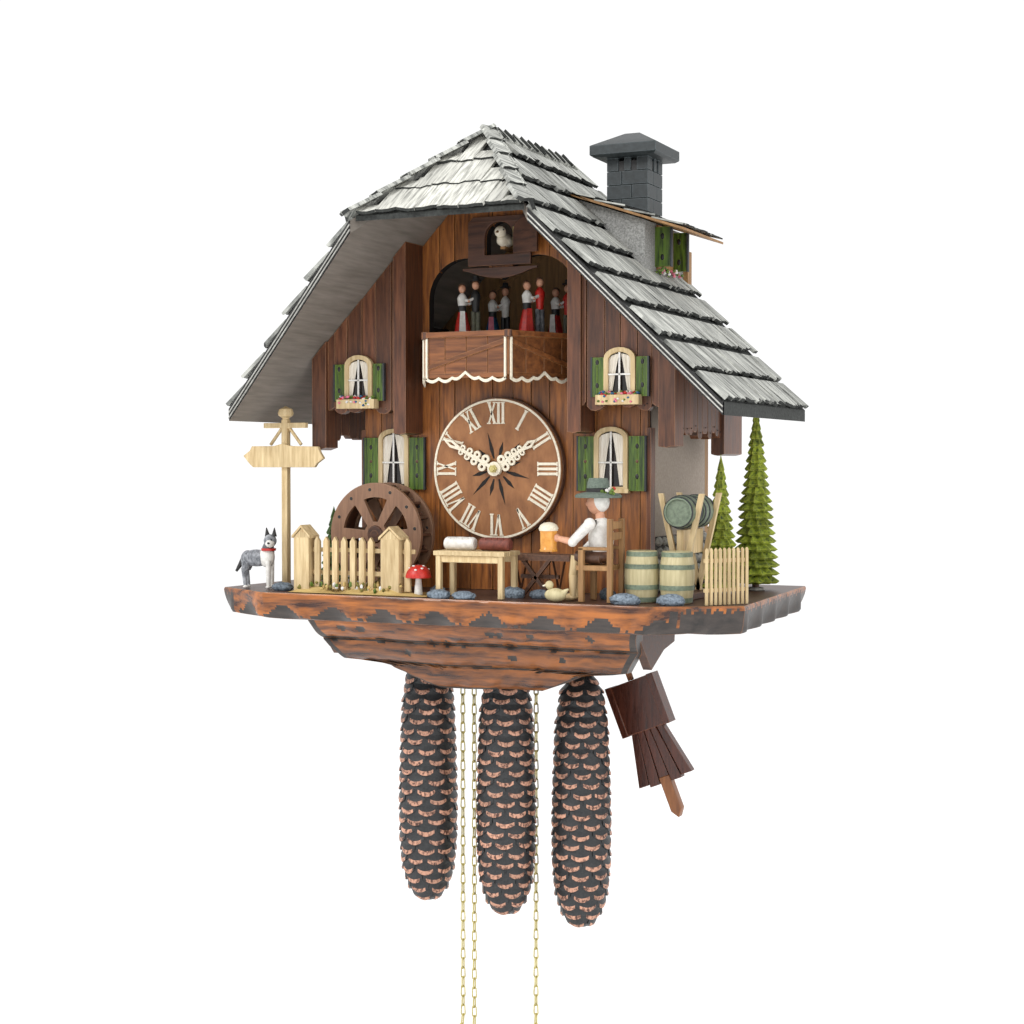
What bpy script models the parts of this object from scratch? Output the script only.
"""Black Forest chalet cuckoo clock: eight-day, three weights, music, dancers, water wheel and beer drinker.

The clock is laid out in millimetres round the centre of its dial: x to the right, y towards the wall
(the wall is y = 0 and the front of the clock is at negative y), z up. Every object hangs from one empty
that moves this layout so that the world origin is the wall hook, which carries the clock.
"""
import math

import bmesh
import bpy
from mathutils import Matrix, Vector
from mathutils.geometry import tessellate_polygon

# ---------------------------------------------------------------- driving dimensions (millimetres)
MM = 0.001
GAP = 0.35                      # clearance between pieces that touch
HOOK_Z = 190.0                  # wall hook above the dial centre

BASE_TOP = -92.0
BASE_THICK = 18.0
BASE_HALF_BACK = 199.0
BASE_HALF_FRONT = 210.0
BASE_FACE_HALF = 152.5
BASE_CORNER_Y = -200.0
BASE_FRONT_Y = -233.0
BASE_HOLE = (-96.0, 72.0, -122.0, -16.0)

CASE_HALF = 118.0
CASE_FRONT_Y = -139.5
BOARD = 8.0
BACK_THICK = 8.0

RIDGE_Z = 252.0
ROOF_PITCH = 1.035              # fall per unit run of the two long slopes
ROOF_HALF = 198.0
ROOF_DEPTH = 11.5               # roof board measured straight down
RAKE_EAVE_Y = -211.0
HIP_HALF = 69.0
HIP_BASE_Y = -246.0
HIP_APEX_Y = -155.0

WING_FRONT_Y = -165.0
WING_INNER = 68.0
WING_OUTER = 147.0
WING_BOARD = 7.0

DIAL_RADIUS = 54.0
DIAL_FRONT_Y = -147.5
SHAFT_HOLE = 4.6

WHEEL_X = -86.0
WHEEL_Z = -49.5
WHEEL_RADIUS = 39.0
WHEEL_FRONT_Y = -180.0
WHEEL_BACK_Y = -157.0

TABLE_TURN_Y = -112.0           # axis of the dancers' turntable
TABLE_TURN_RADIUS = 47.0
TABLE_TURN_TOP = 94.0
COUPLE_RADIUS = 38.0

CHAIN_RADIUS = 2.35
CHAIN_WHEEL_Z = -20.0
# going, cuckoo and music trains: weight x, free chain x, chain y, cone bottom z, hank x
TRAINS = ((-83.0, -52.0, -100.0, -346.0, -60.5), (-14.0, -42.0, -100.0, -350.0, -33.5),
          (39.5, 0.5, -75.0, -360.0, 9.0))
CONE_RADIUS = 25.0
CONE_LENGTH = 200.0
FREE_RUN_BOTTOM = -452.0
HANK_HEIGHT = 80.0
HANK_DEPTH = 31.0
HANK_WIDTH = 17.0

PENDULUM_PIVOT = (-14.0, -30.0, 25.0)
PENDULUM_SWING = math.radians(-21.8)

HOUR_ANGLE = math.radians(57.0)
MINUTE_ANGLE = math.radians(-62.0)

SHOULDER = (104.0, -219.0, -38.0)


# ---------------------------------------------------------------- scene and helpers
def clear_scene():
    for existing in list(bpy.data.objects):
        bpy.data.objects.remove(existing, do_unlink=True)


def make_datum():
    datum = bpy.data.objects.new("hook_datum", None)
    bpy.context.scene.collection.objects.link(datum)
    datum.location = (0.0, 0.0, -HOOK_Z * MM)
    return datum


def material(name, colour, roughness=0.6, metallic=0.0):
    made = bpy.data.materials.new(name)
    made.use_nodes = True
    shader = made.node_tree.nodes["Principled BSDF"]
    shader.inputs["Base Color"].default_value = (*colour, 1.0)
    shader.inputs["Roughness"].default_value = roughness
    shader.inputs["Metallic"].default_value = metallic
    return made


def mesh_of(bm):
    """Millimetre bmesh to a metre mesh with outward faces."""
    bmesh.ops.recalc_face_normals(bm, faces=bm.faces)
    bmesh.ops.scale(bm, vec=(MM, MM, MM), verts=bm.verts)
    mesh = bpy.data.meshes.new("shape")
    bm.to_mesh(mesh)
    bm.free()
    return mesh


def place(name, mesh, look, origin=(0.0, 0.0, 0.0), turn=(0.0, 0.0, 0.0), smooth=False):
    """Name a mesh, give it its material and hang it from the datum."""
    mesh.name = name
    mesh.materials.clear()
    mesh.materials.append(look)
    if smooth:
        mesh.shade_smooth()
        mesh.set_sharp_from_angle(angle=math.radians(40.0))
    piece = bpy.data.objects.new(name, mesh)
    bpy.context.scene.collection.objects.link(piece)
    piece.parent = DATUM
    piece.location = [value * MM for value in origin]
    piece.rotation_euler = turn
    return piece


def union(meshes):
    """Join overlapping closed meshes into one body with Boolean unions."""
    base = bpy.data.objects.new("union_base", meshes[0])
    bpy.context.scene.collection.objects.link(base)
    tools = []
    for mesh in meshes[1:]:
        tool = bpy.data.objects.new("union_tool", mesh)
        bpy.context.scene.collection.objects.link(tool)
        tools.append(tool)
        join = base.modifiers.new("join", "BOOLEAN")
        join.operation = "UNION"
        join.object = tool
    graph = bpy.context.evaluated_depsgraph_get()
    joined = bpy.data.meshes.new_from_object(base.evaluated_get(graph))
    for temporary in [base] + tools:
        bpy.data.objects.remove(temporary, do_unlink=True)
    tidy = bmesh.new()
    tidy.from_mesh(joined)
    bmesh.ops.remove_doubles(tidy, verts=tidy.verts, dist=1e-6)
    bmesh.ops.triangulate(tidy, faces=tidy.faces)
    tidy.to_mesh(joined)
    tidy.free()
    return joined


def moved(mesh, offset=(0.0, 0.0, 0.0), turn_z=0.0):
    mesh.transform(Matrix.Translation(Vector(offset) * MM) @ Matrix.Rotation(turn_z, 4, "Z"))
    return mesh


# ---------------------------------------------------------------- outlines (millimetres, in a plane)
def arc(centre, radius, start, end, steps):
    """Points on an arc, angles in degrees."""
    points = []
    for step in range(steps + 1):
        angle = math.radians(start + (end - start) * step / steps)
        points.append((centre[0] + radius * math.cos(angle), centre[1] + radius * math.sin(angle)))
    return points


def circle(centre, radius, steps):
    return arc(centre, radius, 0.0, 360.0 * (steps - 1) / steps, steps - 1)


def board_mesh(outline, near, far, axis="Y", holes=(), lean=0.0):
    """Extrude an outline with holes along an axis; lean slides it along that axis as z falls."""
    loops = [list(outline)] + [list(hole) for hole in holes]
    flat = [point for loop in loops for point in loop]
    top = max(point[1] for point in flat)
    triangles = tessellate_polygon([[Vector((u, v, 0.0)) for u, v in loop] for loop in loops])
    bm = bmesh.new()
    layers = []
    for depth in (near, far):
        layer = []
        for u, v in flat:
            shift = depth + lean * (top - v)
            place_at = {"X": (shift, u, v), "Y": (u, shift, v), "Z": (u, v, shift)}[axis]
            layer.append(bm.verts.new(place_at))
        layers.append(layer)
    for layer in layers:
        if holes:
            for triangle in triangles:
                bm.faces.new([layer[index] for index in triangle])
        else:
            bm.faces.new(layer)
    start = 0
    for loop in loops:
        count = len(loop)
        for index in range(count):
            this = start + index
            after = start + (index + 1) % count
            bm.faces.new((layers[0][this], layers[0][after], layers[1][after], layers[1][this]))
        start += count
    return mesh_of(bm)


def box_mesh(x, y, z):
    return board_mesh([(x[0], z[0]), (x[1], z[0]), (x[1], z[1]), (x[0], z[1])], y[0], y[1])


def turned_mesh(profile, centre, axis="Z", steps=16):
    """Turn a profile of (radius, height) pairs round an axis; it starts and ends on the axis."""
    bm = bmesh.new()
    rings = []
    for radius, height in profile:
        count = 1 if radius < 1e-6 else steps
        ring = []
        for index in range(count):
            angle = 2.0 * math.pi * index / steps
            across, up = radius * math.cos(angle), radius * math.sin(angle)
            local = {"Z": (across, up, height), "Y": (across, height, up), "X": (height, across, up)}[axis]
            ring.append(bm.verts.new([local[i] + centre[i] for i in range(3)]))
        rings.append(ring)
    for low, high in zip(rings, rings[1:]):
        for index in range(steps):
            after = (index + 1) % steps
            corners = [low[index % len(low)], low[after % len(low)],
                       high[after % len(high)], high[index % len(high)]]
            unique = list(dict.fromkeys(corners))
            if len(unique) > 2:
                bm.faces.new(unique)
    return mesh_of(bm)


def rod_mesh(start, end, radius, steps=8):
    """A straight round bar between two points."""
    first, last = Vector(start), Vector(end)
    run = last - first
    bm = bmesh.new()
    bmesh.ops.create_cone(bm, cap_ends=True, segments=steps, radius1=radius, radius2=radius, depth=run.length)
    turn = Vector((0.0, 0.0, 1.0)).rotation_difference(run).to_matrix().to_4x4()
    bmesh.ops.transform(bm, matrix=Matrix.Translation((first + last) / 2.0) @ turn, verts=bm.verts)
    return mesh_of(bm)


def blob_mesh(centre, radii, detail=1):
    """A rounded lump: a squashed icosphere."""
    bm = bmesh.new()
    bmesh.ops.create_icosphere(bm, subdivisions=detail, radius=1.0)
    bmesh.ops.scale(bm, vec=radii, verts=bm.verts)
    bmesh.ops.translate(bm, vec=centre, verts=bm.verts)
    return mesh_of(bm)


def roof_top(x):
    return RIDGE_Z - ROOF_PITCH * abs(x)


def roof_under(x):
    return roof_top(x) - ROOF_DEPTH


def dormer_top(x):
    return 227.0 - 0.34 * x


# ---------------------------------------------------------------- carcass
def build_platform():
    right = [(BASE_HALF_BACK, 0.0), (BASE_HALF_FRONT, BASE_CORNER_Y), (BASE_FACE_HALF, BASE_FRONT_Y)]
    outline = right + [(-x, y) for x, y in reversed(right)]
    left, rightmost, front, back = BASE_HOLE
    opening = [(left, front), (rightmost, front), (rightmost, back), (left, back)]
    slab = board_mesh(outline, BASE_TOP - BASE_THICK, BASE_TOP, axis="Z", holes=[opening])
    place("platform", slab, WOOD_DARK)


def build_apron():
    top = BASE_TOP - BASE_THICK - GAP
    half = [(42.0, -165.0), (62.0, -157.0), (80.0, -148.5), (115.0, -146.0),
            (128.0, -130.0), (134.0, top)]
    front = board_mesh(half + [(-x, z) for x, z in reversed(half)], -204.0, -192.0, lean=0.8)
    cheeks = []
    for inner, outer in ((124.0, 131.0), (-131.0, -124.0)):
        side = [(-199.0, top - 0.5), (-115.0, top - 0.5), (-115.0, -127.0), (-168.0, -143.0)]
        cheeks.append(board_mesh(side, inner, outer, axis="X"))
    place("apron", union([front] + cheeks), WOOD_DARK)


def arch_openings():
    """The dancers' double arch, the cuckoo's arch, and the holes for the hand shaft and wheel axle."""
    right = [(61.0, 90.4), (61.0, 129.0)] + arc((30.0, 129.0), 31.0, 20.0, 140.0, 5)
    dancers = right + [(0.0, 144.0)] + [(-x, z) for x, z in reversed(right)]
    cuckoo = [(-12.0, 161.0), (12.0, 161.0)] + arc((0.0, 174.0), 12.0, 0.0, 180.0, 6)
    shaft = circle((0.0, 0.0), SHAFT_HOLE, 12)
    axle = circle((WHEEL_X, WHEEL_Z), 4.0, 8)
    return dancers, cuckoo, shaft, axle


def build_case():
    dancers, cuckoo, shaft, axle = arch_openings()
    foot = BASE_TOP + GAP
    eave = roof_under(CASE_HALF) - GAP
    gable = [(CASE_HALF, foot), (CASE_HALF, eave), (0.0, roof_under(0.0) - 2.0 * GAP)]
    outline = gable + [(-CASE_HALF, eave), (-CASE_HALF, foot)]
    back_of_front = CASE_FRONT_Y + BOARD
    front = board_mesh(outline, CASE_FRONT_Y, back_of_front, holes=[dancers, cuckoo, shaft, axle])
    surround = board_mesh([(-26.0, 153.0), (26.0, 153.0), (26.0, 190.0), (-26.0, 190.0)],
                          CASE_FRONT_Y - 3.5, CASE_FRONT_Y + 2.0, holes=[cuckoo])
    pieces = [front, surround]
    side_face = CASE_HALF - 0.2
    for inner, outer in ((CASE_HALF - BOARD, side_face), (-side_face, BOARD - CASE_HALF)):
        depth = (CASE_FRONT_Y + 3.0, -BACK_THICK - GAP)
        pieces.append(box_mesh((inner, outer), depth, (foot + 0.2, eave - 0.2)))
    place("case", union(pieces), WOOD_ORANGE)


def build_back_panel():
    foot = BASE_TOP + GAP
    eave = roof_under(CASE_HALF) - GAP
    outline = [(CASE_HALF, foot), (CASE_HALF, eave), (0.0, roof_under(0.0) - 2.0 * GAP),
               (-CASE_HALF, eave), (-CASE_HALF, foot)]
    hook_hole = circle((0.0, HOOK_Z), 5.0, 12)
    place("back_panel", board_mesh(outline, -BACK_THICK, 0.0, holes=[hook_hole]), WOOD_TAN)


def build_wing(name, side):
    """Jettied upper storey beside the dial: front boards, side boards, inner post and corner posts."""
    def span(low, high):
        return (low, high) if side > 0 else (-high, -low)
    front = [(WING_INNER, 44.0), (WING_OUTER, 44.0), (WING_OUTER, roof_under(WING_OUTER) - GAP),
             (WING_INNER, roof_under(WING_INNER) - GAP)]
    pieces = [board_mesh([(side * x, z) for x, z in front], WING_FRONT_Y, WING_FRONT_Y + WING_BOARD)]
    pieces.append(box_mesh(span(WING_OUTER - WING_BOARD, WING_OUTER - 0.2),
                           (WING_FRONT_Y + 3.0, -BACK_THICK - GAP), (23.0, roof_under(WING_OUTER) - 2.0)))
    pieces.append(box_mesh(span(66.0, 77.0), (-168.0, CASE_FRONT_Y - GAP), (26.0, roof_under(77.0) - GAP)))
    pieces.append(box_mesh(span(136.0, 149.0), (-168.0, -150.0), (15.0, roof_under(149.0) - GAP)))
    pieces.append(box_mesh(span(138.0, 149.0), (-55.0, -9.0), (10.0, roof_under(149.0) - GAP)))
    place(name, union(pieces), WOOD_RED)


def roof_slab(plan, height):
    """A board that follows a height function over a plan outline, ROOF_DEPTH thick measured down."""
    bm = bmesh.new()
    tops = [bm.verts.new((x, y, height(x, y))) for x, y in plan]
    bottoms = [bm.verts.new((x, y, height(x, y) - ROOF_DEPTH)) for x, y in plan]
    bm.faces.new(tops)
    bm.faces.new(list(reversed(bottoms)))
    for index in range(len(plan)):
        after = (index + 1) % len(plan)
        bm.faces.new((tops[index], bottoms[index], bottoms[after], tops[after]))
    return mesh_of(bm)


def build_roof():
    slope_plan = [(GAP, 0.0), (ROOF_HALF, 0.0), (ROOF_HALF, RAKE_EAVE_Y),
                  (HIP_HALF + GAP, HIP_BASE_Y), (GAP, HIP_APEX_Y)]
    for name, side in (("roof_right", 1.0), ("roof_left", -1.0)):
        plan = [(side * x, y) for x, y in slope_plan]
        place(name, roof_slab(plan, lambda x, y: roof_top(x)), SHINGLE)
    fall = ROOF_PITCH * HIP_HALF / (HIP_APEX_Y - HIP_BASE_Y)
    hip_plan = [(0.0, HIP_APEX_Y - 1.2), (-HIP_HALF + 1.0, HIP_BASE_Y), (HIP_HALF - 1.0, HIP_BASE_Y)]
    place("roof_hip", roof_slab(hip_plan, lambda x, y: RIDGE_Z - fall * (HIP_APEX_Y - y)), SHINGLE)


def build_dormer():
    clear = GAP + 0.1
    wedge = [(45.0, roof_top(45.0) + clear), (100.0, roof_top(100.0) + clear),
             (100.0, dormer_top(100.0) - 2.0), (45.0, dormer_top(45.0) - 2.0)]
    body = board_mesh(wedge, -98.0, -10.0)
    lid = [(37.5, roof_top(37.5) + clear), (44.0, roof_top(44.0) + clear), (60.0, dormer_top(60.0) - 5.0),
           (134.0, dormer_top(134.0) - 5.0), (134.0, dormer_top(134.0)), (37.5, dormer_top(37.5))]
    cover = board_mesh(lid, -108.0, -12.0)
    back = board_mesh([(88.0, roof_top(88.0) + clear), (104.0, roof_top(104.0) + clear), (104.0, 173.0),
                       (88.0, 173.0)], -10.5, -1.0)
    shutters = [box_mesh((99.0, 113.0), (near, near + 3.0), (154.0, 184.0)) for near in (-76.0, -38.0)]
    place("dormer", union([body, cover, back] + shutters), SHINGLE)


def build_chimney():
    left, right, near, far = 70.0, 103.0, -100.0, -68.0
    stack = board_mesh([(left, dormer_top(left) + GAP), (right, dormer_top(right) + GAP),
                        (right, 234.0), (left, 234.0)], near, far)
    bm = bmesh.new()
    layers = []
    for half, height in ((24.0, 232.0), (26.5, 236.0), (26.5, 243.0), (6.0, 254.0)):
        ring = [bm.verts.new((86.5 + half * sx, -84.0 + half * sy, height))
                for sx, sy in ((-1, -1), (1, -1), (1, 1), (-1, 1))]
        layers.append(ring)
    bm.faces.new(layers[0])
    bm.faces.new(layers[-1])
    for low, high in zip(layers, layers[1:]):
        for index in range(4):
            after = (index + 1) % 4
            bm.faces.new((low[index], low[after], high[after], high[index]))
    place("chimney", union([stack, mesh_of(bm)]), SLATE)


def build_balcony():
    outer = [(-65.0, CASE_FRONT_Y - GAP), (-34.4, -200.0), (34.4, -200.0), (65.0, CASE_FRONT_Y - GAP)]
    inner = [(60.0, CASE_FRONT_Y - GAP), (31.5, -195.5), (-31.5, -195.5), (-60.0, CASE_FRONT_Y - GAP)]
    apron = board_mesh(outer + inner, 63.0, 99.5, axis="Z")
    deck = board_mesh([(-62.0, CASE_FRONT_Y - GAP), (-33.0, -197.5), (33.0, -197.5),
                       (62.0, CASE_FRONT_Y - GAP)],
                      86.0, 90.0, axis="Z")
    place("balcony", union([apron, deck]), WOOD_ORANGE)


# ---------------------------------------------------------------- cuckoo, dancers, dial and hands
def build_cuckoo():
    leaf = [(0.0, 0.0), (22.0, 0.0), (22.0, 15.0)] + arc((11.0, 15.0), 11.0, 20.0, 160.0, 4) + [(0.0, 15.0)]
    door = board_mesh(leaf, -1.3, 1.3)
    hinge = (13.2, CASE_FRONT_Y - 5.6, 161.0)
    place("cuckoo_door", door, WOOD_DARK, origin=hinge, turn=(0.0, 0.0, math.radians(-12.0)))
    body = blob_mesh((1.0, -134.0, 172.5), (5.0, 11.0, 5.5))
    head = blob_mesh((1.0, -143.5, 178.0), (4.2, 4.6, 4.4))
    beak = rod_mesh((1.0, -146.0, 177.5), (1.0, -150.5, 176.8), 1.0, 6)
    perch = box_mesh((-1.0, 3.0), (-138.0, -110.0), (165.5, 169.0))
    place("cuckoo", union([perch, body, head, beak]), IVORY)


def build_dancers():
    disc = turned_mesh([(0.0, 91.0), (TABLE_TURN_RADIUS, 91.0), (TABLE_TURN_RADIUS, TABLE_TURN_TOP),
                        (0.0, TABLE_TURN_TOP)], (0.0, TABLE_TURN_Y, 0.0), steps=24)
    spindle = rod_mesh((0.0, TABLE_TURN_Y, 58.0), (0.0, TABLE_TURN_Y, 92.0), 3.0)
    place("turntable", union([disc, spindle]), WOOD_DARK)
    floor = TABLE_TURN_TOP + GAP
    for number in range(4):
        heading = math.radians(45.0 + 90.0 * number)
        skirt = turned_mesh([(0.0, 0.0), (6.5, 0.0), (5.6, 14.0), (2.6, 27.0), (3.6, 36.0), (1.8, 40.0),
                             (3.1, 44.0), (0.0, 48.0)], (-5.4, 0.0, floor), steps=8)
        trousers = turned_mesh([(0.0, 0.0), (3.6, 0.0), (3.2, 24.0), (4.2, 38.0), (1.8, 42.0), (3.3, 46.0),
                                (3.6, 50.0), (0.0, 52.5)], (4.8, 0.0, floor), steps=8)
        arms = rod_mesh((-7.5, -3.0, floor + 31.0), (7.5, -3.0, floor + 33.0), 1.3, 6)
        couple = union([skirt, trousers, arms])
        centre = (COUPLE_RADIUS * math.cos(heading), TABLE_TURN_Y + COUPLE_RADIUS * math.sin(heading), 0.0)
        place(f"dancers_{number + 1}", moved(couple, centre, 0.25 * number), PAINT_RED, smooth=True)


def hand_outline(length, width):
    """Leaf-shaped carved hand: boss, waist, two leaves and a pointed tip, symmetric about its length."""
    half = [(5.0, -3.0), (5.6, 2.0), (2.0, 7.0), (width, 0.28 * length), (1.8, 0.42 * length),
            (width, 0.60 * length), (1.6, 0.76 * length), (0.7 * width, 0.88 * length)]
    return [(0.0, -5.8)] + half + [(0.0, length)] + [(-x, z) for x, z in reversed(half)]


def build_dial_and_hands():
    face = board_mesh(circle((0.0, 0.0), DIAL_RADIUS, 40), DIAL_FRONT_Y, CASE_FRONT_Y - GAP,
                      holes=[circle((0.0, 0.0), SHAFT_HOLE, 12)])
    place("dial", face, WOOD_LIGHT)
    hour = board_mesh(hand_outline(40.0, 5.5), -150.0, -148.3, holes=[circle((0.0, 0.0), 2.4, 12)])
    tube = board_mesh(circle((0.0, 0.0), 3.9, 12), -149.5, -127.0, holes=[circle((0.0, 0.0), 2.4, 12)])
    place("hour_hand", union([hour, tube]), IVORY, turn=(0.0, HOUR_ANGLE, 0.0))
    minute = board_mesh(hand_outline(48.0, 5.0), -152.4, -150.7)
    arbor = rod_mesh((0.0, -155.5, 0.0), (0.0, -126.0, 0.0), 1.9, 10)
    nut = turned_mesh([(0.0, -154.6), (3.0, -154.6), (3.0, -151.5), (0.0, -151.5)], (0.0, 0.0, 0.0), "Y", 8)
    place("minute_hand", union([minute, arbor, nut]), IVORY, turn=(0.0, MINUTE_ANGLE, 0.0))


# ---------------------------------------------------------------- windows and water wheel
def window_mesh(centre_x, sill, half_frame, height, half_total, back_y, flower_box):
    """Arched frame with a shutter each side and, on the upper storey, a flower box."""
    crown = arc((0.0, height - half_frame * 0.55), half_frame, 30.0, 150.0, 4)
    outline = [(half_total, 0.0), (half_total, height - 8.0), (half_frame, height - 8.0)] + crown
    outline += [(-half_frame, height - 8.0), (-half_total, height - 8.0), (-half_total, 0.0)]
    frame = board_mesh([(centre_x + x, sill + z) for x, z in outline], back_y - 3.4, back_y)
    if not flower_box:
        return frame
    box = box_mesh((centre_x - half_frame - 5.0, centre_x + half_frame + 5.0), (back_y - 9.0, back_y - 1.0),
                   (sill - 6.0, sill + 3.0))
    return union([frame, box])


def build_windows():
    for name, side in (("left", -1.0), ("right", 1.0)):
        upper = window_mesh(side * 107.0, 52.0, 12.0, 36.0, 22.0, WING_FRONT_Y - GAP, True)
        place(f"window_upper_{name}", upper, IVORY)
        lower = window_mesh(side * 90.5, -16.0, 13.2, 48.0, 27.0, CASE_FRONT_Y - GAP, False)
        place(f"window_lower_{name}", lower, IVORY)


def build_water_wheel():
    spokes = []
    for number in range(6):
        start = 60.0 * number + 9.0
        rim_side = arc((0.0, 0.0), 29.0, start, start + 42.0, 2)
        hub_side = arc((0.0, 0.0), 11.0, start + 33.0, start + 9.0, 1)
        spokes.append(rim_side + hub_side)
    rim = circle((0.0, 0.0), WHEEL_RADIUS, 24)
    half = (WHEEL_BACK_Y - WHEEL_FRONT_Y) / 2.0
    front = board_mesh(rim, -half, -half + 3.5, holes=spokes)
    back = board_mesh(rim, half - 3.5, half, holes=spokes)
    drum = board_mesh(circle((0.0, 0.0), 36.0, 14), -half + 2.0, half - 2.0,
                      holes=[circle((0.0, 0.0), 32.0, 14)])
    axle = rod_mesh((0.0, -half - 2.0, 0.0), (0.0, 41.0, 0.0), 3.0, 10)
    place("water_wheel", union([front, back, drum, axle]), WOOD_RED,
          origin=(WHEEL_X, (WHEEL_FRONT_Y + WHEEL_BACK_Y) / 2.0, WHEEL_Z))


# ---------------------------------------------------------------- scenery on the platform
FOOT = BASE_TOP + GAP


def build_fences():
    pieces = [box_mesh((-136.0, -20.0), (-225.0, -204.0), (FOOT, -86.0))]
    for left, right in ((-132.0, -119.0), (-58.0, -43.0)):
        post = [(left, -88.0), (right, -88.0), (right, -50.0), ((left + right) / 2.0, -42.0), (left, -50.0)]
        pieces.append(board_mesh(post, -222.0, -210.0))
    for rail in (-77.0, -60.0):
        pieces.append(box_mesh((-121.0, -56.0), (-217.0, -214.5), (rail - 2.0, rail + 2.0)))
    for number in range(7):
        left = -115.0 + 8.2 * number
        picket = [(left, -87.0), (left + 5.0, -87.0), (left + 5.0, -54.0), (left + 2.5, -51.0), (left, -54.0)]
        pieces.append(board_mesh(picket, -219.5, -216.0))
    stalk = turned_mesh([(0.0, -88.0), (2.6, -88.0), (2.2, -79.0), (9.5, -78.5), (8.0, -72.5), (4.0, -69.8),
                         (0.0, -69.3)], (-30.0, -216.0, 0.0), steps=10)
    place("fence_left", union(pieces + [stalk]), WOOD_CREAM)

    start, end = Vector((184.0, -209.0, 0.0)), Vector((205.0, -180.0, 0.0))
    along = end - start
    length = along.length
    heading = math.atan2(along.y, along.x)
    rails = [box_mesh((0.0, length), (-0.9, 0.9), (z, z + 3.0)) for z in (-83.0, -63.0)]
    pickets = []
    for number in range(9):
        left = (length - 2.6) * number / 8.0
        pickets.append(box_mesh((left, left + 2.6), (-2.2, -0.5), (FOOT, -53.0)))
    place("fence_right", moved(union(rails + pickets), start, heading), WOOD_CREAM)


def build_signpost():
    x, y = -167.0, -177.0
    post = box_mesh((x - 3.0, x + 3.0), (y - 3.0, y + 3.0), (FOOT, 38.0))
    knob = blob_mesh((x, y, 42.5), (6.5, 6.5, 6.5))
    bar = box_mesh((x - 19.0, x + 19.0), (y - 2.0, y + 2.0), (31.0, 36.0))
    board = [(x - 35.0, 10.0), (x - 28.0, 1.0), (x + 30.0, 1.0), (x + 37.0, 8.0), (x + 32.0, 17.0),
             (x + 6.0, 20.0), (x - 28.0, 18.0)]
    hangers = [rod_mesh((x + dx, y, 12.0), (x + 0.6 * dx, y, 33.0), 1.6, 6) for dx in (-14.0, 14.0)]
    place("signpost", union([post, knob, bar, board_mesh(board, y - 5.5, y - 2.0)] + hangers), WOOD_CREAM)


def build_dog():
    y = -202.0
    parts = [blob_mesh((-178.0, y, -69.0), (12.0, 6.0, 7.5)), blob_mesh((-167.5, y, -66.5), (6.5, 5.5, 8.0)),
             blob_mesh((-165.0, y - 1.0, -55.5), (5.5, 5.0, 5.5)),
             rod_mesh((-167.0, y, -66.0), (-165.0, y, -56.0), 4.2, 8),
             rod_mesh((-164.0, y - 3.0, -56.5), (-161.0, y - 9.0, -58.0), 2.2, 6)]
    for ear in (-1.0, 1.0):
        parts.append(rod_mesh((-165.0 + 3.0 * ear, y, -52.0), (-165.0 + 3.8 * ear, y, -47.0), 1.3, 5))
    for x, side in ((-165.5, -3.4), (-166.0, 3.4), (-185.5, -3.4), (-186.0, 3.4)):
        parts.append(rod_mesh((x, y + side, FOOT), (x, y + side, -68.0), 2.3, 6))
    parts.append(rod_mesh((-188.0, y, -68.0), (-196.0, y, -80.0), 2.0, 6))
    place("dog", union(parts), PAINT_GREY, smooth=True)


def build_tables():
    top = box_mesh((-14.0, 42.0), (-224.0, -196.0), (-62.0, -58.0))
    legs = []
    for x in (-12.5, 36.5):
        for y in (-223.0, -201.0):
            legs.append(box_mesh((x, x + 4.0), (y, y + 4.0), (FOOT, -60.0)))
    loaves = [box_mesh((x, x + 24.0), (-216.0, -204.0), (-58.5, -49.0)) for x in (-11.0, 17.0)]
    place("table", union([top] + legs + loaves), WOOD_CREAM)

    bench_top = box_mesh((24.0, 78.0), (-191.0, -172.0), (-66.0, -61.0))
    crossed = []
    for x in (34.0, 64.0):
        for sign in (-1.0, 1.0):
            crossed.append(board_mesh([(-181.5 - 8.5 * sign, FOOT), (-181.5 - 4.5 * sign, FOOT),
                                       (-181.5 + 8.5 * sign, -64.0), (-181.5 + 4.5 * sign, -64.0)],
                                      x, x + 4.0, axis="X"))
    brace = box_mesh((36.0, 66.0), (-183.0, -180.0), (-79.0, -76.0))
    place("trestle", union([bench_top] + crossed + [brace]), WOOD_RED)


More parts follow.
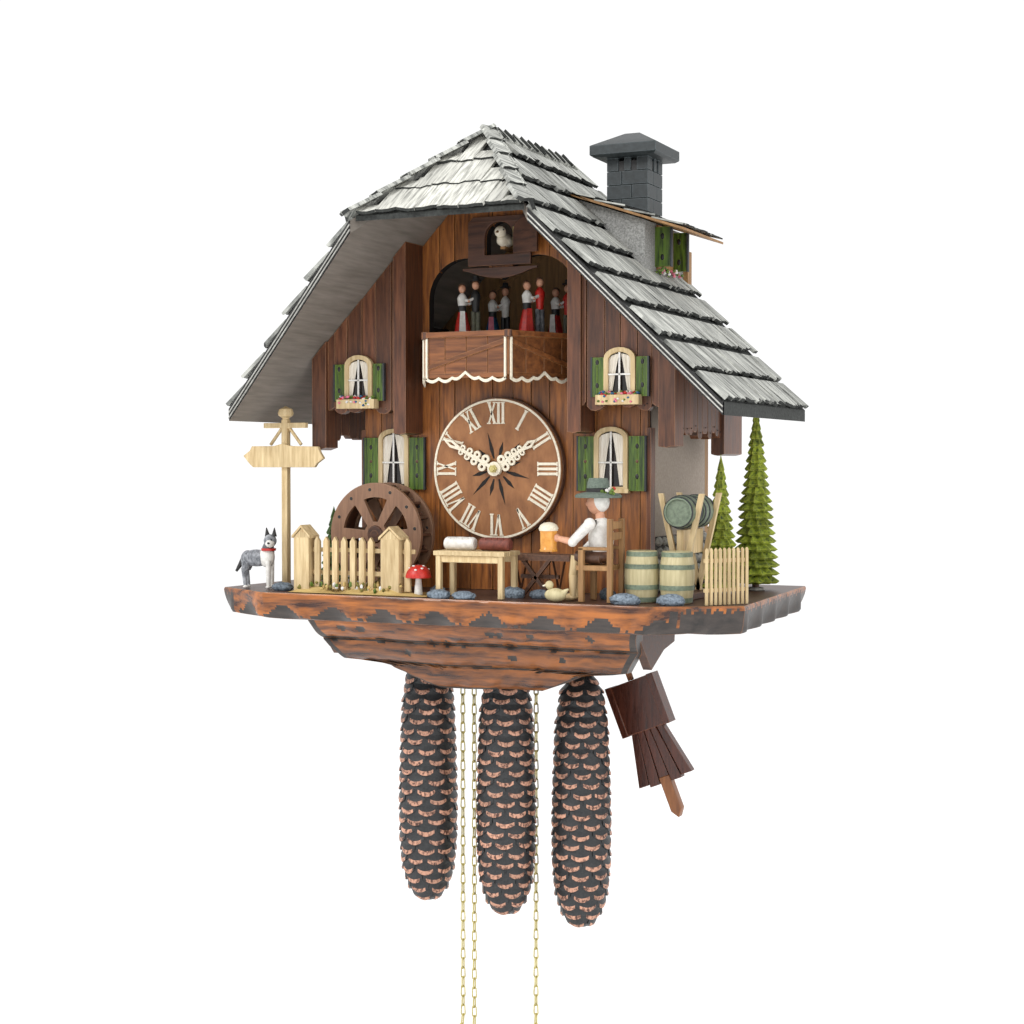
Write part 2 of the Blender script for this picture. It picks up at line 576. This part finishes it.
def build_drinker():
    chair = [box_mesh((94.0, 119.0), (-218.5, -193.5), (-70.0, -66.0)),
             box_mesh((117.5, 121.5), (-219.0, -193.0), (FOOT, -35.0))]
    for y in (-218.0, -197.5):
        chair.append(box_mesh((96.0, 102.0), (y, y + 3.5), (FOOT, -68.0)))
    place("chair", union(chair), WOOD_CREAM)

    y = -205.0
    man = [blob_mesh((107.8, y, -48.0), (9.2, 9.5, 15.5)), blob_mesh((104.5, y, -23.0), (7.5, 7.0, 8.5)),
           rod_mesh((108.0, y, -38.0), (105.5, y, -25.0), 3.4, 7),
           turned_mesh([(0.0, -19.0), (16.5, -19.0), (15.5, -16.5), (8.0, -15.0), (6.5, -5.5), (0.0, -4.5)],
                       (105.5, y, 0.0), steps=14),
           blob_mesh((107.0, y, -60.0), (9.5, 8.5, 5.4)),
           box_mesh((99.0, 113.0), (-211.0, -199.0), (-65.6, -55.0))]
    for side in (-4.6, 4.6):
        man.append(rod_mesh((110.0, y + side, -60.5), (90.5, y + side, -60.5), 4.2, 8))
        man.append(rod_mesh((89.5, y + side, -59.0), (88.0, y + side, -87.5), 3.2, 8))
        man.append(box_mesh((77.5, 91.5), (y + side - 2.9, y + side + 2.9), (FOOT, -86.0)))
    man.append(rod_mesh((109.0, y + 7.5, -40.0), (92.0, y + 6.5, -57.5), 3.0, 6))
    place("drinker", union(man), PAINT_WHITE, smooth=True)

    arm = [rod_mesh((1.5, 0.0, 1.0), (-12.0, 0.0, -12.0), 3.3, 8),
           rod_mesh((-11.0, 0.0, -12.5), (-25.0, 0.0, -9.0), 2.6, 8),
           turned_mesh([(0.0, -19.0), (6.6, -19.0), (6.6, -4.0), (5.2, 0.5), (0.0, 1.5)],
                       (-30.0, 0.0, 0.0), steps=12)]
    place("drinker_arm", union(arm), PAINT_WHITE, origin=SHOULDER, smooth=True)


def barrel_profile(radius, length, base):
    return [(0.0, base), (0.84 * radius, base), (0.96 * radius, base + 0.25 * length),
            (radius, base + 0.5 * length), (0.96 * radius, base + 0.75 * length),
            (0.84 * radius, base + length), (0.0, base + length)]


def build_barrels():
    for number, (x, y) in enumerate(((135.0, -197.0), (160.0, -195.0))):
        cask = turned_mesh(barrel_profile(12.2, 35.5, FOOT), (x, y, 0.0), steps=14)
        place(f"barrel_{number + 1}", cask, WOOD_CREAM, smooth=True)
    x, z = 154.0, -30.0
    casks = [turned_mesh(barrel_profile(12.0, 24.0, near), (x, 0.0, z), axis="Y", steps=14)
             for near in (-177.0, -147.5)]
    rack = [box_mesh((x - 9.0, x + 9.0), (-174.0, -126.0), (FOOT, -87.0))]
    for near in (-171.0, -132.0):
        for sign in (-1.0, 1.0):
            leg = [(x - 3.0 * sign, -89.0), (x + 3.0 * sign, -89.0),
                   (x + 17.0 * sign, -17.0), (x + 12.5 * sign, -17.0)]
            rack.append(board_mesh(leg, near, near + 3.5))
    bed = box_mesh((x - 2.5, x + 2.5), (-172.0, -128.0), (-60.0, -40.5))
    place("barrel_rack", union(rack + [bed] + casks), WOOD_TAN)


def tree_mesh(x, y, radius, top):
    height = top - FOOT
    profile = [(0.0, 0.0), (0.25 * radius, 0.0), (0.25 * radius, 0.08 * height)]
    tiers = 5
    for tier in range(tiers):
        low = 0.08 + 0.92 * tier / tiers
        wide = radius * (1.0 - 0.8 * tier / tiers)
        profile.append((wide, height * (low + 0.02)))
        profile.append((wide * 0.62, height * (low + 0.9 * 0.92 / tiers)))
    profile.append((0.0, height))
    return turned_mesh([(r, FOOT + h) for r, h in profile], (x, y, 0.0), steps=9)


def build_trees():
    for name, x, y, radius, top in (("tree_right_tall", 175.0, -58.0, 17.5, 50.0),
                                    ("tree_right_small", 160.0, -98.0, 14.5, 11.0)):
        place(name, tree_mesh(x, y, radius, top), FOLIAGE)


# ---------------------------------------------------------------- works inside the case
def build_movement():
    plates = []
    for near in (-124.0, -84.0):
        plates.append(box_mesh((-98.0, 14.0), (near, near + 2.0), (-46.0, 52.0)))
    pillars = [rod_mesh((x, -123.0, z), (x, -83.0, z), 3.0) for x in (-94.0, 10.0) for z in (-41.0, 47.0)]
    place("movement_frame", union(plates + pillars), BRASS)
    for number, (loaded, free, chain_y, _, _) in enumerate(TRAINS):
        radius = abs(loaded - free) / 2.0
        profile = [(0.0, -20.0), (2.0, -20.0), (2.0, -5.0), (radius - 3.0, -5.0), (radius - 3.0, 5.0),
                   (2.0, 5.0), (2.0, 15.5), (0.0, 15.5)]
        wheel = turned_mesh(profile, (0.0, 0.0, 0.0), axis="Y", steps=18)
        centre = ((loaded + free) / 2.0, chain_y, CHAIN_WHEEL_Z)
        place(f"chain_wheel_{number + 1}", wheel, BRASS, origin=centre)
    music = [box_mesh((16.0, 83.0), (near, near + 2.0), (-46.0, 12.0)) for near in (-98.0, -56.0)]
    music.append(box_mesh((18.0, 82.0), (-97.5, -54.5), (10.0, 16.0)))
    music.append(rod_mesh((26.0, -76.0, 23.0), (76.0, -76.0, 23.0), 9.5, 12))
    place("music_movement", union(music), BRASS)
    for name, left in (("bellows_left", -107.0), ("bellows_right", 85.0)):
        pipe = box_mesh((left, left + 22.0), (-72.0, -44.0), (-40.0, 62.0))
        lid = board_mesh([(-72.0, 61.0), (-44.0, 61.0), (-44.0, 78.0), (-72.0, 66.0)], left, left + 22.0,
                         axis="X")
        place(name, union([pipe, lid]), WOOD_TAN)
    ring = board_mesh(circle((-60.0, 90.0), 26.0, 24), -24.0, -20.0, holes=[circle((-60.0, 90.0), 19.0, 24)])
    stem = box_mesh((-64.0, -56.0), (-26.0, -BACK_THICK - GAP), (64.0, 74.0))
    place("gong", union([ring, stem]), STEEL)


def build_pendulum():
    rod = box_mesh((-2.5, 2.5), (-1.2, 1.2), (-209.5, 4.0))
    place("pendulum_rod", rod, WOOD_RED, origin=PENDULUM_PIVOT, turn=(0.0, PENDULUM_SWING, 0.0))
    block = box_mesh((-21.0, 21.0), (-7.0, 7.0), (-251.0, -210.0))
    fan = board_mesh([(-14.0, -250.0), (14.0, -250.0), (24.0, -293.0), (8.0, -297.0), (-8.0, -297.0),
                      (-24.0, -293.0)],
                     -4.5, 4.5)
    stick = board_mesh([(-4.5, -290.0), (4.5, -290.0), (4.5, -318.0), (0.0, -324.0), (-4.5, -318.0)],
                       -3.0, 3.0)
    place("pendulum_bob", union([block, fan, stick]), MAHOGANY, origin=PENDULUM_PIVOT,
          turn=(0.0, PENDULUM_SWING, 0.0))


# ---------------------------------------------------------------- weights and chains
def cone_profile(bottom):
    """Pine cone outline: blunt tip, full lower half, slimmer shoulder."""
    shape = ((0.0, 0.0), (0.40, 0.012), (0.70, 0.05), (0.90, 0.13), (0.985, 0.25), (1.0, 0.42), (0.96, 0.62),
             (0.90, 0.80), (0.74, 0.93), (0.45, 0.99), (0.12, 1.0))
    return [(CONE_RADIUS * r, bottom + CONE_LENGTH * h) for r, h in shape]


def build_weights():
    for number, (loaded, _, chain_y, bottom, _) in enumerate(TRAINS):
        cone = cone_profile(bottom)
        stub = [(CHAIN_RADIUS, bottom + CONE_LENGTH + 2.0), (CHAIN_RADIUS, CHAIN_WHEEL_Z - 1.0),
                (0.0, CHAIN_WHEEL_Z - 1.0)]
        body = turned_mesh(cone + stub, (loaded, chain_y, 0.0), steps=16)
        place(f"weight_{number + 1}", body, IRON, smooth=True)


def build_free_chains():
    """Free side of each chain: a straight run down from its wheel, then the spare length in a tied hank."""
    for number, (_, free, chain_y, _, hank_x) in enumerate(TRAINS):
        top = CHAIN_WHEEL_Z - 1.0
        steps = 24
        curve = bpy.data.curves.new(f"chain_run_{number + 1}", "CURVE")
        curve.dimensions = "3D"
        curve.bevel_depth = CHAIN_RADIUS * MM
        curve.bevel_resolution = 2
        curve.use_fill_caps = True
        spline = curve.splines.new("POLY")
        spline.points.add(steps)
        for index in range(steps + 1):
            height = top + (FREE_RUN_BOTTOM - top) * index / steps
            spline.points[index].co = (free * MM, chain_y * MM, height * MM, 1.0)
        run = bpy.data.objects.new(f"chain_run_{number + 1}", curve)
        bpy.context.scene.collection.objects.link(run)
        curve.materials.append(BRASS)
        run.parent = DATUM
        upper = FREE_RUN_BOTTOM - GAP
        end = HANK_DEPTH / 2.0
        outline = arc((chain_y, upper - end), end, 0.0, 180.0, 8)
        outline += arc((chain_y, upper - HANK_HEIGHT + end), end, 180.0, 360.0, 8)
        hank = board_mesh(outline, hank_x - HANK_WIDTH / 2.0, hank_x + HANK_WIDTH / 2.0, axis="X")
        place(f"chain_hank_{number + 1}", hank, BRASS)


clear_scene()
DATUM = make_datum()
WOOD_DARK = material("wood_dark", (0.16, 0.07, 0.03))
WOOD_ORANGE = material("wood_orange", (0.36, 0.17, 0.07), 0.45)
WOOD_RED = material("wood_red", (0.24, 0.11, 0.06))
WOOD_LIGHT = material("wood_light", (0.50, 0.28, 0.12), 0.5)
WOOD_TAN = material("wood_tan", (0.60, 0.45, 0.30), 0.7)
WOOD_CREAM = material("wood_cream", (0.85, 0.75, 0.52), 0.7)
SHINGLE = material("shingle", (0.50, 0.50, 0.46), 0.85)
SLATE = material("slate", (0.18, 0.20, 0.21), 0.7)
IVORY = material("ivory", (0.93, 0.88, 0.74), 0.5)
FOLIAGE = material("foliage", (0.35, 0.42, 0.06), 0.85)
PAINT_RED = material("paint_red", (0.60, 0.06, 0.03), 0.5)
PAINT_GREY = material("paint_grey", (0.30, 0.32, 0.35), 0.6)
PAINT_WHITE = material("paint_white", (0.80, 0.78, 0.74), 0.6)
BRASS = material("brass", (0.80, 0.68, 0.38), 0.35, 1.0)
STEEL = material("steel", (0.50, 0.50, 0.52), 0.3, 1.0)
IRON = material("iron", (0.30, 0.20, 0.17), 0.6, 0.6)
MAHOGANY = material("mahogany", (0.17, 0.06, 0.03), 0.5)

build_platform()
build_apron()
build_case()
build_back_panel()
build_wing("wing_left", -1.0)
build_wing("wing_right", 1.0)
build_roof()
build_dormer()
build_chimney()
build_balcony()
build_cuckoo()
build_dancers()
build_dial_and_hands()
build_windows()
build_water_wheel()
build_fences()
build_signpost()
build_dog()
build_tables()
build_drinker()
build_barrels()
build_trees()
build_movement()
build_pendulum()
build_weights()
build_free_chains()
